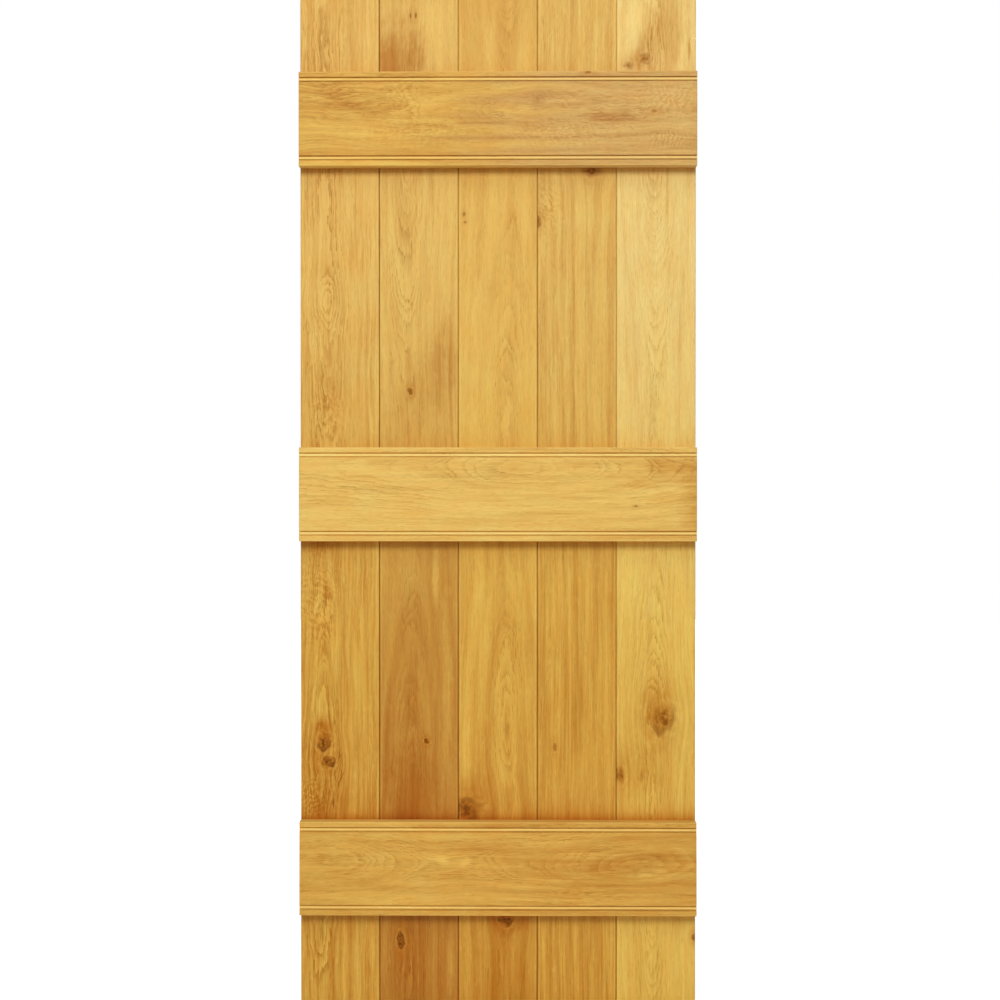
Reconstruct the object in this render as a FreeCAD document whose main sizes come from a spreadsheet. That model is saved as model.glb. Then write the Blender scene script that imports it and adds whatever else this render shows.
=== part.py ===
import FreeCAD, Part
import os
import Sketcher

# A ledged door leaf: five upright oak boards, tongued and grooved together, carried by three
# ledges across their back. Each ledge has a bead run along both of its long edges.
#
# Frame: X goes across the leaf from the hinge edge to the lock edge, Y goes through it from the
# ledged back to the plain front, and Z goes up from the foot. The origin is on the hinge edge,
# at the foot, in the middle of the boards' thickness.

doc = FreeCAD.newDocument("ledged_door")
sheet = doc.addObject("Spreadsheet::Sheet", "Sizes")

# Driving sizes in millimetres
sizes = {
    "door_width": 762,  # hinge edge to lock edge
    "door_height": 1981,  # foot to head
    "board_thickness": 20,
    "joint_gap": 0.6,  # room left between two boards for the wood to move
    "tongue_length": 8,
    "tongue_thickness": 6,
    "tongue_lead": 0.8,  # bevel that leads a tongue into its groove
    "side_clearance": 0.2,  # between a tongue and each cheek of its groove
    "end_clearance": 1.5,  # between the tip of a tongue and the bottom of its groove
    "front_v": 4,  # bevels that meet as a V at each joint on the front
    "back_arris": 1.4,  # smaller bevels at each joint on the back
    "edge_round": 2,  # rounding down the two outer edges of the leaf
    "ledge_width": 180,
    "ledge_thickness": 24,
    "ledge_inset": 182,  # end of the leaf to the nearest edge of the outer ledges
    "ledge_round": 1.5,  # rounding round the face of a ledge
    "bead_margin": 10,  # plain band outside the bead
    "quirk_width": 2,  # flat sunk beside the bead
    "bead_width": 6,
    "bead_sink": 0.3,  # crown of the bead below the face of the ledge
}
for row, (alias, size) in enumerate(sizes.items(), start=1):
    sheet.set(f"A{row}", alias)
    sheet.set(f"B{row}", str(size))
    sheet.setAlias(f"B{row}", alias)
doc.recompute()

# From the hinge edge to the lock edge, as seen from the back
board_names = ("hinge_board", "second_board", "centre_board", "fourth_board", "lock_board")
board_pitch = f"(Sizes.door_width / {len(board_names)})"

# Height of each ledge's middle above the foot
half_ledge = "Sizes.ledge_width / 2"
ledge_heights = {
    "bottom_ledge": f"Sizes.ledge_inset + {half_ledge}",
    "middle_ledge": "Sizes.door_height / 2",
    "top_ledge": f"Sizes.door_height - Sizes.ledge_inset - {half_ledge}",
}


def value_of(expression):
    """Number that an expression of sheet cells comes to."""
    found = sheet.evalExpression(expression)
    return float(getattr(found, "Value", found))


def new_body(name):
    body = doc.addObject("PartDesign::Body", name)
    body.Label = name
    return body


def origin_plane(body, role):
    return next(plane for plane in body.Origin.OriginFeatures if plane.Role == role)


def new_sketch(body, name, role):
    sketch = body.newObject("Sketcher::SketchObject", name)
    sketch.AttachmentSupport = (origin_plane(body, role), [""])
    sketch.MapMode = "FlatFace"
    return sketch


def pin(sketch, line, end, place):
    """Holds one end of a line at a place given as two expressions."""
    for kind, expression in zip(("DistanceX", "DistanceY"), place):
        index = sketch.addConstraint(
            Sketcher.Constraint(kind, -1, 1, line, end, value_of(expression))
        )
        sketch.setExpression(f"Constraints[{index}]", expression)


def draw_outline(sketch, corners, bulges=()):
    """Draws a closed outline through corners given as pairs of expressions.

    A side whose number is in bulges is a half circle, swelling to the left of its direction.
    """
    points = [FreeCAD.Vector(value_of(x), value_of(y), 0) for x, y in corners]
    count = len(points)
    for side in range(count):
        start, end = points[side], points[(side + 1) % count]
        if side in bulges:
            swell = FreeCAD.Vector(start.y - end.y, end.x - start.x, 0) / 2
            crown = (start + end) / 2 + swell
            sketch.addGeometry(Part.Arc(start, crown, end))
        else:
            sketch.addGeometry(Part.LineSegment(start, end))
    # An arc keeps its ends anticlockwise, so one drawn clockwise has them the other way round
    first = [2 if side in bulges else 1 for side in range(count)]
    last = [1 if side in bulges else 2 for side in range(count)]
    for side in range(count):
        after = (side + 1) % count
        sketch.addConstraint(
            Sketcher.Constraint("Coincident", side, last[side], after, first[after])
        )
    for side in range(count):
        pin(sketch, side, first[side], corners[side])
    for side in bulges:
        # The centre midway between the ends makes the arc a half circle
        sketch.addConstraint(Sketcher.Constraint("Symmetric", side, 1, side, 2, side, 3))


def check_changed(before, after, what):
    if abs(after.Volume - before.Volume) < 1e-6:
        raise RuntimeError(f"{what} changed nothing")


def pad(body, sketch, name, length):
    feature = body.newObject("PartDesign::Pad", name)
    feature.Profile = sketch
    feature.setExpression("Length", length)
    doc.recompute()
    return feature


def cut_through(body, sketch, name):
    """Cuts a sketched section right through the body along the sketch's normal."""
    before = body.Shape.copy()
    feature = body.newObject("PartDesign::Pocket", name)
    feature.Profile = sketch
    feature.Type = "ThroughAll"
    feature.Reversed = True
    doc.recompute()
    check_changed(before, body.Shape, feature.Label)
    return feature


def edges_on(shape, **place):
    """Names of the edges whose ends both lie at the given coordinates."""
    names = []
    for number, edge in enumerate(shape.Edges, start=1):
        ends = [vertex.Point for vertex in edge.Vertexes]
        if all(abs(getattr(end, axis) - at) < 1e-4 for end in ends for axis, at in place.items()):
            names.append(f"Edge{number}")
    return names


def dress_edges(body, kind, name, size, places):
    """Bevels (Chamfer) or rounds (Fillet) the edges found at each of the places."""
    base = body.Tip
    names = []
    for place in places:
        names += edges_on(base.Shape, **place)
    if len(names) != len(places):
        raise RuntimeError(f"{name} on {body.Label}: {len(names)} edges at {len(places)} places")
    feature = body.newObject(f"PartDesign::{kind}", name)
    feature.Base = (base, names)
    feature.setExpression("Size" if kind == "Chamfer" else "Radius", size)
    doc.recompute()
    check_changed(base.Shape, feature.Shape, name)
    return feature


def build_board(number, name):
    """One upright board, with a groove towards the hinge edge and a tongue towards the lock edge.

    The two outer boards are planed straight on their outer sides.
    """
    body = new_body(name)
    grooved = number > 0
    tongued = number < len(board_names) - 1
    left = "Sizes.joint_gap / 2" if grooved else "0"
    right = f"{board_pitch} - Sizes.joint_gap / 2" if tongued else board_pitch
    back = "-Sizes.board_thickness / 2"
    front = "Sizes.board_thickness / 2"

    section = new_sketch(body, f"{name}_section", "XY_Plane")
    draw_outline(section, [(left, back), (right, back), (right, front), (left, front)])
    pad(body, section, f"{name}_blank", "Sizes.door_height")

    # Bevels first, so that each is cut from the plain corner of the blank
    left_at, right_at = value_of(left), value_of(right)
    back_at, front_at = value_of(back), value_of(front)
    joints = [at for at, joined in ((left_at, grooved), (right_at, tongued)) if joined]
    outer = [at for at, joined in ((left_at, grooved), (right_at, tongued)) if not joined]
    fronts = [{"x": at, "y": front_at} for at in joints]
    backs = [{"x": at, "y": back_at} for at in joints]
    dress_edges(body, "Chamfer", f"{name}_front_v", "Sizes.front_v", fronts)
    dress_edges(body, "Chamfer", f"{name}_back_arris", "Sizes.back_arris", backs)
    if outer:
        rounds = [{"x": at, "y": y} for at in outer for y in (back_at, front_at)]
        dress_edges(body, "Fillet", f"{name}_edge_round", "Sizes.edge_round", rounds)

    if grooved:
        # Deep enough for the neighbour's tongue, which has the joint gap to cross first
        deep = f"{left} + Sizes.tongue_length - Sizes.joint_gap + Sizes.end_clearance"
        cheek = "(Sizes.tongue_thickness / 2 + Sizes.side_clearance)"
        groove = new_sketch(body, f"{name}_groove_section", "XY_Plane")
        draw_outline(
            groove,
            [(left, f"-{cheek}"), (deep, f"-{cheek}"), (deep, cheek), (left, cheek)],
        )
        cut_through(body, groove, f"{name}_groove")
    if tongued:
        tip = f"{right} + Sizes.tongue_length"
        lead = f"{tip} - Sizes.tongue_lead"
        half = "Sizes.tongue_thickness / 2"
        nose = f"{half} - Sizes.tongue_lead"
        tongue = new_sketch(body, f"{name}_tongue_section", "XY_Plane")
        draw_outline(
            tongue,
            [
                (right, f"-{half}"),
                (lead, f"-{half}"),
                (tip, f"-({nose})"),
                (tip, nose),
                (lead, half),
                (right, half),
            ],
        )
        pad(body, tongue, f"{name}_tongue", "Sizes.door_height")
    body.setExpression("Placement.Base.x", f"{board_pitch} * {number}")
    return body


def build_ledge(name, height):
    """One ledge, with its back flat on the boards and a sunk bead along both edges of its face.

    In the body Y is depth from the boards outwards as a minus, and Z is zero at mid width.
    """
    body = new_body(name)
    face = "-Sizes.ledge_thickness"
    section = new_sketch(body, f"{name}_section", "YZ_Plane")
    draw_outline(
        section,
        [(face, f"-{half_ledge}"), ("0", f"-{half_ledge}"), ("0", half_ledge), (face, half_ledge)],
    )
    pad(body, section, f"{name}_blank", "Sizes.door_width")

    face_at, edge_at = value_of(face), value_of(half_ledge)
    rounds = [
        {"y": face_at, "z": edge_at},
        {"y": face_at, "z": -edge_at},
        {"x": 0.0, "y": face_at},
        {"x": value_of("Sizes.door_width"), "y": face_at},
    ]
    dress_edges(body, "Fillet", f"{name}_face_round", "Sizes.ledge_round", rounds)

    # The bead is half round. What is cut away is a trench with the bead left standing in it.
    floor = f"{face} + Sizes.bead_sink + Sizes.bead_width / 2"
    outside = f"{half_ledge} - Sizes.bead_margin"
    bead_top = f"{outside} - Sizes.quirk_width"
    bead_foot = f"{bead_top} - Sizes.bead_width"
    inside = f"{bead_foot} - Sizes.quirk_width"
    trench = new_sketch(body, f"{name}_bead_section", "YZ_Plane")
    draw_outline(
        trench,
        [
            (face, outside),
            (face, inside),
            (floor, inside),
            (floor, bead_foot),
            (floor, bead_top),
            (floor, outside),
        ],
        bulges=(3,),
    )
    upper = cut_through(body, trench, f"{name}_upper_bead")

    before = body.Shape.copy()
    lower = body.newObject("PartDesign::Mirrored", f"{name}_lower_bead")
    lower.Originals = [upper]
    lower.MirrorPlane = (origin_plane(body, "XY_Plane"), [""])
    body.Tip = lower
    doc.recompute()
    check_changed(before, body.Shape, lower.Label)

    body.setExpression("Placement.Base.y", "-Sizes.board_thickness / 2")
    body.setExpression("Placement.Base.z", height)
    return body


bodies = [build_board(number, name) for number, name in enumerate(board_names)]
bodies += [build_ledge(name, height) for name, height in ledge_heights.items()]
doc.recompute()

for item in doc.Objects:
    if "Invalid" in item.State or "Error" in item.State:
        raise RuntimeError(f"{item.Label} is in state {item.State}")
for body in bodies:
    if body.Shape.isNull() or not body.Shape.isValid() or len(body.Shape.Solids) != 1:
        raise RuntimeError(f"{body.Label} is not one sound solid")

os.makedirs("parts", exist_ok=True)
for body in bodies:
    body.Shape.exportStep(f"parts/{body.Label}.step")
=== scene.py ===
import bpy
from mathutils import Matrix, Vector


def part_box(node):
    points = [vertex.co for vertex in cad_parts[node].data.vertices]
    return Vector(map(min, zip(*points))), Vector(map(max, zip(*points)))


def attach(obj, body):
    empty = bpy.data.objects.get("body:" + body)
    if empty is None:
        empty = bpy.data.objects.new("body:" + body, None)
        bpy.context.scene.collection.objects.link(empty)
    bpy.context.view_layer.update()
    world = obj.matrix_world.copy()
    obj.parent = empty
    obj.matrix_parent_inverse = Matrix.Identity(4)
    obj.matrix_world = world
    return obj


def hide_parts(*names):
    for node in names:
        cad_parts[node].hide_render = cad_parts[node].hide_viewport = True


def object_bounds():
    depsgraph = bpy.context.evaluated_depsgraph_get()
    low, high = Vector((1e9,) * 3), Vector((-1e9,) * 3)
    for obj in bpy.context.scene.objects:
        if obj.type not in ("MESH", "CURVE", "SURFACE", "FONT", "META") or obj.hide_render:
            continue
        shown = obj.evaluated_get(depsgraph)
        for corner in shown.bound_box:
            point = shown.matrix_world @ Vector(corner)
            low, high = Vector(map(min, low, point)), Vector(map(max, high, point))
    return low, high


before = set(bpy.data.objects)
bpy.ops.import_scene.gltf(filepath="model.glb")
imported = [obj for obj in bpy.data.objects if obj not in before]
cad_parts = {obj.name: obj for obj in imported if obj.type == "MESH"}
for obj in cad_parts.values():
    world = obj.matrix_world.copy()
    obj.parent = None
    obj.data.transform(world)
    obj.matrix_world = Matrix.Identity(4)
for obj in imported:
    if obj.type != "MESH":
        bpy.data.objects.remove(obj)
cadBox = [list(corner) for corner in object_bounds()]

from math import pi, radians

import bpy
import numpy as np

scene = bpy.context.scene
scene.view_settings.view_transform = "Standard"
leafLow, leafHigh = (np.array(corner) for corner in cadBox)
boardNames = ["hinge_board", "second_board", "centre_board", "fourth_board", "lock_board"]
ledgeNames = ["top_ledge", "middle_ledge", "bottom_ledge"]
leafWide, leafTall = leafHigh[0], leafHigh[2]
boardPitch = leafWide / len(boardNames)
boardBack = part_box("centre_board")[0].y  # the boards' ledged side
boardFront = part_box("centre_board")[1].y
print("frame loaded, leaf", (leafHigh - leafLow).round(3), "m")

# Camera where the photograph was taken from: straight at the ledged side, a touch right of the
# middle, the focal length in pixels of a picture that wide
view = {
    "place": (0.4157, -3.0, 1.0009),
    "tilt": -0.409,  # degrees up
    "turn": 0.586,  # degrees to the left
    "focalPixels": 1550,
    "pictureWidth": 1000,
    "sensorWidth": 36,  # millimetres
}


def setCamera():
    data = bpy.data.cameras.new("camera")
    data.sensor_width = view["sensorWidth"]
    data.lens = view["sensorWidth"] * view["focalPixels"] / view["pictureWidth"]
    camera = bpy.data.objects.new("camera", data)
    camera.location = view["place"]
    camera.rotation_euler = (radians(90 + view["tilt"]), 0, radians(view["turn"]))
    scene.collection.objects.link(camera)
    scene.camera = camera


# A broad soft lamp high before the ledged side, another for the far side, and a weak one low down
lamps = {
    "key": {"place": (0.05, -4.53, 3.87), "aim": (0.38, 0.0, 1.2), "size": 1.9, "watts": 200},
    "back": {"place": (1.2, 4.2, 3.4), "aim": (0.38, 0.0, 1.0), "size": 1.9, "watts": 150},
    "low": {"place": (0.38, -0.6, 0.05), "aim": (0.38, 0.0, 0.2), "size": 0.5, "watts": 0.9},
}

# A white room, with a pale floor that goes to plain white away from the leaf
room = {
    "strength": 0.18,
    "floorColour": (0.8, 0.8, 0.79, 1.0),
    "floorRoughness": 0.9,
    "floorRadius": 9.0,
    "floorSides": 64,
    "floorDrop": 0.0005,  # below the foot
    "floorGlow": 0.5,
    "glowSpread": (0.8, 3.0),  # metres from the leaf's middle
}
white = (1, 1, 1, 1)
black = (0, 0, 0, 1)


def setLamp(name):
    setting = lamps[name]
    data = bpy.data.lights.new(name, "AREA")
    data.shape = "SQUARE"
    data.size = setting["size"]
    data.energy = setting["watts"]
    lamp = bpy.data.objects.new(name, data)
    lamp.location = setting["place"]
    aim = np.array(setting["aim"]) - np.array(setting["place"])
    flat = np.hypot(aim[0], aim[1])
    lamp.rotation_euler = (np.arctan2(flat, -aim[2]), 0, np.arctan2(aim[1], aim[0]) - pi / 2)
    scene.collection.objects.link(lamp)
    return lamp


def setLight():
    made = {name: setLamp(name) for name in lamps}
    made["low"].visible_camera = False  # a fill, not to be seen itself or in the satin
    made["low"].visible_glossy = False
    world = bpy.data.worlds.new("white room")
    scene.world = world
    world.use_nodes = True
    tree = world.node_tree
    background = tree.nodes["Background"]
    background.inputs["Color"].default_value = white
    # the room shows as plain white to the eye and lights the leaf at its own strength
    seen = Signal(tree, tree.nodes.new("ShaderNodeLightPath").outputs["Is Camera Ray"])
    plug(tree, background.inputs["Strength"], seen * (1 - room["strength"]) + room["strength"])


def setFloor():
    # a round sheet: radius times the cosine and the sine of even turns
    turns = np.linspace(0, 2 * pi, room["floorSides"], endpoint=False)
    points = room["floorRadius"] * np.stack([np.cos(turns), np.sin(turns), 0 * turns], axis=1)
    points += [leafWide / 2, 0, leafLow[2] - room["floorDrop"]]
    mesh = bpy.data.meshes.new("floor")
    mesh.from_pydata(points.tolist(), [], [list(range(len(turns)))])
    floor = bpy.data.objects.new("floor", mesh)
    scene.collection.objects.link(floor)
    material = bpy.data.materials.new("pale floor")
    material.use_nodes = True
    tree = material.node_tree
    surface = tree.nodes["Principled BSDF"]
    surface.inputs["Base Color"].default_value = room["floorColour"]
    surface.inputs["Roughness"].default_value = room["floorRoughness"]
    surface.inputs["Emission Color"].default_value = white
    seen = Signal(tree, tree.nodes.new("ShaderNodeLightPath").outputs["Is Camera Ray"])
    x, y, _ = parts(Signal(tree, tree.nodes.new("ShaderNodeTexCoord").outputs["Object"]))
    x = x - leafWide / 2
    spread = ramp(maths("SQRT", x * x + y * y), *room["glowSpread"])
    plug(tree, surface.inputs["Emission Strength"], (spread + room["floorGlow"]) * seen)
    mesh.materials.append(material)


# Sums on node sockets: a Signal is an output socket, and each sign between two makes a Math node
class Signal:
    def __init__(self, tree, socket):
        self.tree = tree
        self.socket = socket

    def __add__(self, other):
        return maths("ADD", self, other)

    def __sub__(self, other):
        return maths("SUBTRACT", self, other)

    def __rsub__(self, other):
        return maths("SUBTRACT", other, self)

    def __mul__(self, other):
        return maths("MULTIPLY", self, other)

    def __truediv__(self, other):
        return maths("DIVIDE", self, other)

    def __rtruediv__(self, other):
        return maths("DIVIDE", other, self)

    def __pow__(self, other):
        return maths("POWER", self, other)

    __radd__ = __add__
    __rmul__ = __mul__


def plug(tree, socket, value):
    if isinstance(value, Signal):
        tree.links.new(value.socket, socket)
    else:
        socket.default_value = value


# A new node fed with values, each a signal or a plain number, into its first sockets or those named
def fed(kind, values, settings, output=0, sockets=None):
    tree = next(value.tree for value in values if isinstance(value, Signal))
    node = tree.nodes.new(kind)
    for label, setting in settings.items():
        setattr(node, label, setting)
    for socket, value in zip(sockets or range(len(values)), values):
        plug(tree, node.inputs[socket], value)
    return Signal(tree, node.outputs[output])


def maths(operation, *values):
    return fed("ShaderNodeMath", values, {"operation": operation})


# 0 below low, 1 above high, an S-curve between
def ramp(value, low, high):
    return fed("ShaderNodeMapRange", (value, low, high), {"interpolation_type": "SMOOTHSTEP"})


# A bell: 1 at the place, dying away to both sides
def bell(value, place, thin):
    return maths("EXPONENT", ((value - place) * thin) ** 2 * -1)


def parts(vector):
    node = vector.tree.nodes.new("ShaderNodeSeparateXYZ")
    plug(vector.tree, node.inputs[0], vector)
    return [Signal(vector.tree, output) for output in node.outputs]


def joined(x, y, z):
    return fed("ShaderNodeCombineXYZ", (x, y, z), {})


# Vector times a stretch for each axis, plus a shift
def stretched(vector, stretch, shift=(0, 0, 0)):
    return fed("ShaderNodeVectorMath", (vector, stretch, shift), {"operation": "MULTIPLY_ADD"})


# Noises go from 0 to 1 and are 0.5 on the whole
def noise(vector, waves, shift=(0, 0, 0), detail=0.0, rough=0.5, output="Fac"):
    values = (stretched(vector, waves, shift), 1.0, detail, rough)
    sockets = ("Vector", "Scale", "Detail", "Roughness")
    return fed("ShaderNodeTexNoise", values, {}, output, sockets)


def lineNoise(value, detail=2.0):
    sockets = ("W", "Scale", "Detail")
    return fed("ShaderNodeTexNoise", (value, 1.0, detail), {"noise_dimensions": "1D"}, "Fac", sockets)


# The first where amount is 0 and the second where it is 1: chosen for vectors, blended for colours
def chosen(amount, first, second):
    return fed("ShaderNodeMix", (amount, first, second), {"data_type": "VECTOR"}, 1, (0, 4, 5))


def blended(amount, first, second, blend="MIX"):
    settings = {"data_type": "RGBA", "blend_type": blend, "clamp_factor": True}
    return fed("ShaderNodeMix", (amount, first, second), settings, 2, (0, 6, 7))


# A smooth curve through (place, value) points, place going from low to high
def curve(signal, points, low, high):
    node = signal.tree.nodes.new("ShaderNodeFloatCurve")
    node.mapping.use_clip = False
    line = node.mapping.curves[0]
    for place, value in points[1:-1]:
        line.points.new((place - low) / (high - low), value)
    for spot, (place, value) in zip(line.points, points):
        spot.location = ((place - low) / (high - low), value)
    node.mapping.update()
    plug(signal.tree, node.inputs["Value"], (signal - low) / (high - low))
    return Signal(signal.tree, node.outputs[0])


# sRGB 0 to 255 to the linear colour that a socket takes
def tone(red, green, blue):
    part = np.array([red, green, blue]) / 255
    linear = np.where(part > 0.04045, ((part + 0.055) / 1.055) ** 2.4, part / 12.92)
    return (*linear.tolist(), 1.0)


# A new shader group with its sockets by name. The sockets here hold a vector, and others a number.
vectorSockets = ("Grain", "Spot", "Kind", "LastSpot", "LastKind")


def startGroup(name, inputs, outputs):
    tree = bpy.data.node_groups.new(name, "ShaderNodeTree")
    for way, labels in (("INPUT", inputs), ("OUTPUT", outputs)):
        for label in labels.split():
            kind = "NodeSocketVector" if label in vectorSockets else "NodeSocketFloat"
            tree.interface.new_socket(label, in_out=way, socket_type=kind)
    entry = tree.nodes.new("NodeGroupInput")
    return tree, [Signal(tree, entry.outputs[label]) for label in inputs.split()]


def endGroup(tree, **results):
    leave = tree.nodes.new("NodeGroupOutput")
    for label, signal in results.items():
        plug(tree, leave.inputs[label], signal)
    return tree


def useGroup(tree, name, **values):
    node = tree.nodes.new("ShaderNodeGroup")
    node.node_tree = groups[name]
    for label, value in values.items():
        plug(tree, node.inputs[label], value)
    return {output.name: Signal(tree, output) for output in node.outputs}


# Groups work on a grain vector: across the board, through it, and along it, in metres. Each noise
# has its waves to a metre in those directions.
grainNoises = {
    "sway": {"waves": (5, 5, 1.6)},
    "twist": {"waves": (34, 34, 13), "detail": 1, "rough": 0.6},
    "feather": {"waves": (420, 420, 34), "detail": 1},
    "patch": {"waves": (22, 22, 6), "shift": (1.7, 5.1, 9.3), "detail": 1},
    "longStray": {"waves": (4, 4, 1.3), "shift": (2.9, 0, 6.1)},
    "shortStray": {"waves": (26, 26, 11), "shift": (4.3, 0, 8.7)},
    "fine": {"waves": (1300, 1300, 26), "detail": 1},
    "pore": {"waves": (1500, 1500, 70), "shift": (3.1, 7.7, 1.3)},
    "stray": {"waves": (75, 75, 40), "detail": 2, "rough": 0.6},
    "streak": {"waves": (180, 180, 5.5), "detail": 2, "rough": 0.6},
    "broad": {"waves": (48, 48, 3), "detail": 1},
    "fleck": {"waves": (190, 190, 45), "shift": (8.3, 2.9, 4.1), "detail": 1},
    "hue": {"waves": (45, 45, 14), "shift": (5.9, 1.1, 2.3), "detail": 1},
    "fray": {"waves": (70, 70, 9), "detail": 2},
}


def grainNoise(grain, kind, output="Fac"):
    return noise(grain, **grainNoises[kind], output=output)


ringForm = {
    "unevenPitch": 110,  # widths of rings follow a noise of their radius
    "uneven": 3.5,
    "feathering": 1.1,
    "patchEdge": (0.3, 0.65),
    "leastInPatch": 0.25,
    "leastAtSide": 0.25,
    "lineFall": 2.5,  # how fast a line fades behind its dark edge
    "dashEdge": (0.56, 0.72),
    "bandPitch": 60,
    "bandDrift": 0.8,
}


# Growth rings are tubes round a pith line that runs along the board behind its face. Cut by the
# face they show as arches where the pith's depth changes and as straight lines to either side.
def makeRings():
    form = ringForm
    tree, (grain, pithAcross, pithDepth, ringWidth, wander, curl, fade) = startGroup(
        "oak growth rings", "Grain PithAcross PithDepth RingWidth Wander Curl Fade", "Line Dash Band"
    )
    across, through, along = parts(grain)
    sway = parts(grainNoise(grain, "sway", "Color"))
    twist = parts(grainNoise(grain, "twist", "Color"))
    offX = across - pithAcross + (sway[0] - 0.5) * wander + (twist[0] - 0.5) * curl
    offY = pithDepth - through + (sway[1] - 0.5) * wander + (twist[1] - 0.5) * curl
    radius = maths("SQRT", offX * offX + offY * offY)
    feather = grainNoise(grain, "feather")
    count = radius / ringWidth + lineNoise(radius * form["unevenPitch"]) * form["uneven"]
    count = count + (feather - 0.5) * form["feathering"]
    # lines come and go in patches, are plain over the pith and thin out to the sides
    patch = ramp(grainNoise(grain, "patch"), *form["patchEdge"])
    side = offX / fade
    strength = patch * (1 - form["leastInPatch"]) + form["leastInPatch"]
    strength = strength * ((1 - form["leastAtSide"]) / (side * side + 1) + form["leastAtSide"])
    return endGroup(
        tree,
        Line=(1 - maths("FRACT", count)) ** form["lineFall"] * strength,
        Dash=ramp(feather, *form["dashEdge"]) * strength,
        Band=lineNoise(radius * form["bandPitch"] + along * form["bandDrift"]),
    )


# How far the grain strays sideways as it goes along: a long sway and a shorter wave
def makeFlow():
    tree, (grain, sway, wave) = startGroup("oak flow", "Grain Sway Wave", "Shift")
    long = grainNoise(grain, "longStray") - 0.5
    short = grainNoise(grain, "shortStray") - 0.5
    return endGroup(tree, Shift=long * sway + short * wave)


fibreForm = {
    "poreEdge": (0.6, 0.74),  # pores and flecks are the peaks of a noise
    "fleckEdge": (0.6, 0.72),
    "frayLong": 0.45,
    "frayShort": 0.55,
}


# Fine fibres, and pores as fine
def makePores():
    tree, (grain,) = startGroup("oak pores", "Grain", "Fine Pore")
    pore = ramp(grainNoise(grain, "pore"), *fibreForm["poreEdge"])
    return endGroup(tree, Fine=grainNoise(grain, "fine"), Pore=pore)


# Streaks are noise drawn out along the grain, in two widths, and flecks, hue and stray are shorter.
# Fray, StrayA and StrayB are for the edges of stains and the bars of curly figure.
def makeFibres():
    form = fibreForm
    tree, (grain,) = startGroup("oak fibres", "Grain", "Streak Broad Fleck Hue Fray StrayA StrayB")
    strayA, strayB, strayC = parts(grainNoise(grain, "stray", "Color"))
    fray = grainNoise(grain, "fray") * form["frayLong"] + strayC * form["frayShort"]
    return endGroup(
        tree,
        Streak=grainNoise(grain, "streak"),
        Broad=grainNoise(grain, "broad"),
        Fleck=ramp(grainNoise(grain, "fleck"), *form["fleckEdge"]),
        Hue=grainNoise(grain, "hue"),
        Fray=fray - 0.5,
        StrayA=strayA,
        StrayB=strayB,
    )


# A knot's own lengths are in its radii
knotForm = {
    "seedSteps": (97, 61),  # the seed comes from the knot's place
    "bendNoise": {"waves": (0.75, 0.75, 1), "detail": 1},
    "bend": 1.3,
    "mottleNoise": {"waves": (2.6, 2.6, 1), "shift": (0, 0, 7.7), "detail": 2, "rough": 0.6},
    "heartEdge": (0.35, 0.95),
    "mottleEdge": (0.35, 0.62),
    "leastHeart": 0.3,
    "rim": (0.85, 4.5),  # place and thinness
    "rimGaps": (0.36, 0.6),
    "pale": (1.25, 3.2),
    "paleGaps": (0.35, 0.6),
    "haloTall": 0.6,
    "haloFall": 0.45,
    "haloMottle": 0.8,
    "leastHalo": 0.6,
}
noKnot = {"Spot": (99, 99, 0), "Kind": (0, 0, 0), "Far": 9999.0, "Shift": 0.0}


# Where a knot is. Spot is the way from the knot's middle, 1 at its edge, and its seed. The nearest
# knot of those in the chain is passed on. Shift pushes the grain aside as a post does water.
def makeKnotPlace():
    tree, signals = startGroup(
        "oak knot place",
        "Grain Across Along Size Stretch Dark Ring LastSpot LastKind LastFar LastShift",
        "Spot Kind Far Shift",
    )
    grain, across, along, size, stretch, dark, ring, lastSpot, lastKind, lastFar, lastShift = signals
    x, _, z = parts(grain)
    u = (x - across) / size
    v = (z - along) / (size * stretch)
    far = u * u + v * v
    nearer = maths("LESS_THAN", far, lastFar)
    acrossStep, alongStep = knotForm["seedSteps"]
    return endGroup(
        tree,
        Spot=chosen(nearer, lastSpot, joined(u, v, across * acrossStep + along * alongStep)),
        Kind=chosen(nearer, lastKind, joined(dark, ring, 0.0)),
        Far=maths("MINIMUM", far, lastFar),
        Shift=lastShift + (x - across) / (far + 1),
    )


# A knot is a branch cut across. Its distance is 1 at the knot's edge, bent by noise. The heart is
# mottled, a broken dark rim and then a pale band go round it, and a soft stain lies about it.
def makeKnot():
    form = knotForm
    tree, (spot,) = startGroup("oak knot", "Spot", "Heart Rim Pale Halo")
    u, v, _ = parts(spot)
    bendU, bendV, gaps = parts(noise(spot, **form["bendNoise"], output="Color"))
    mottle = noise(spot, **form["mottleNoise"])
    bentU = u + (bendU - 0.5) * form["bend"]
    bentV = v + (bendV - 0.5) * form["bend"]
    distance = maths("SQRT", bentU * bentU + bentV * bentV)
    mottled = ramp(mottle, *form["mottleEdge"]) * (1 - form["leastHeart"]) + form["leastHeart"]
    stain = maths("EXPONENT", (u * u + v * v * form["haloTall"]) * -form["haloFall"])
    return endGroup(
        tree,
        Heart=(1 - ramp(distance, *form["heartEdge"])) * mottled,
        Rim=bell(distance, *form["rim"]) * ramp(gaps, *form["rimGaps"]),
        Pale=bell(distance, *form["pale"]) * ramp(mottle, *form["paleGaps"]),
        Halo=stain * (mottle * form["haloMottle"] + form["leastHalo"]),
    )


stainForm = {"fray": 1.5, "edge": (0.2, 1.25)}


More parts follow.
